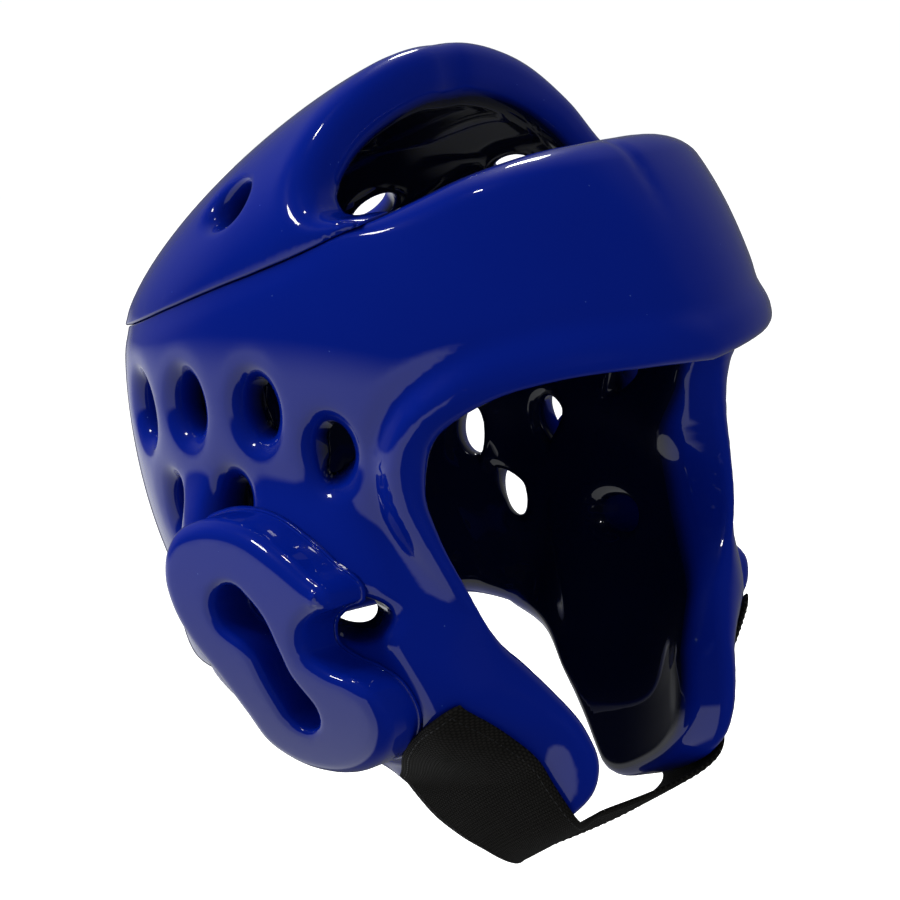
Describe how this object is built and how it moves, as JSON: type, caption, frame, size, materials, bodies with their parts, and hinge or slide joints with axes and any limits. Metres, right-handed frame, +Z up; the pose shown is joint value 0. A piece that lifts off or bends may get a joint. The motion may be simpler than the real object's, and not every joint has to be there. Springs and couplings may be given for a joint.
{
  "type": "head guard",
  "caption": "Wrap-round padded foam head guard with an open face, an arched crown pad, ear pads and a chin strap.",
  "frame": {"origin": "where the top of a head bears on the inside of the crown pad", "axes": "+Z up, -Y out of the face opening, +X towards the wearer's left"},
  "size_m": [0.251, 0.2478, 0.3057],
  "materials": {
    "dipped_foam": "glossy dipped skin over foam",
    "webbing": "woven webbing"
  },
  "bodies": {
    "root": {"shell": "dipped_foam", "crown_pad": "dipped_foam", "ear_pad_left": "dipped_foam", "ear_pad_right": "dipped_foam", "chin_strap": "webbing"}
  },
  "joints": []
}
